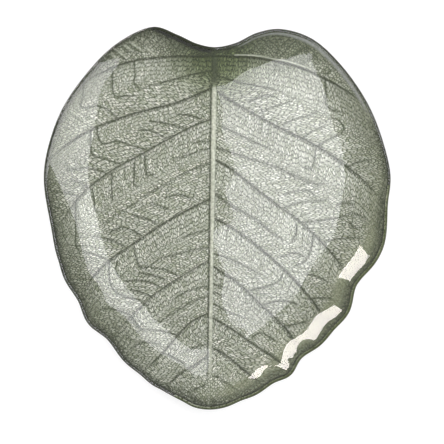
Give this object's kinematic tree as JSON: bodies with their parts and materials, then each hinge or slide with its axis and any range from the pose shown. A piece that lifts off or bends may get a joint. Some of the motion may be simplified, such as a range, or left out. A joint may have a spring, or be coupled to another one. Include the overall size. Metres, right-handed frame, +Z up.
{
  "type": "leaf-shaped cake plate",
  "caption": "Shallow leaf-shaped serving plate of clear pressed glass with a vein relief, coloured from below by a metallic grey-green film, standing on small clear pads.",
  "frame": {"origin": "centre of the plate's outline seen from above, on the table surface under the pads", "axes": "+Z up, +Y from the leaf's tip to its notch, +X to the right seen from above"},
  "size_m": [0.254, 0.28, 0.023],
  "materials": {
    "clear_glass": "polished clear pressed glass",
    "metallic_lacquer": "metallic grey-green lacquer film",
    "backing_lacquer": "satin grey protective lacquer film",
    "clear_pad": "clear soft polyurethane"
  },
  "bodies": {
    "root": {"glass_leaf": "clear_glass", "colour_coat": "metallic_lacquer", "backing_coat": "backing_lacquer", "pad_base_right": "clear_pad", "pad_base_left": "clear_pad", "pad_tip_right": "clear_pad", "pad_tip_left": "clear_pad"}
  },
  "joints": []
}
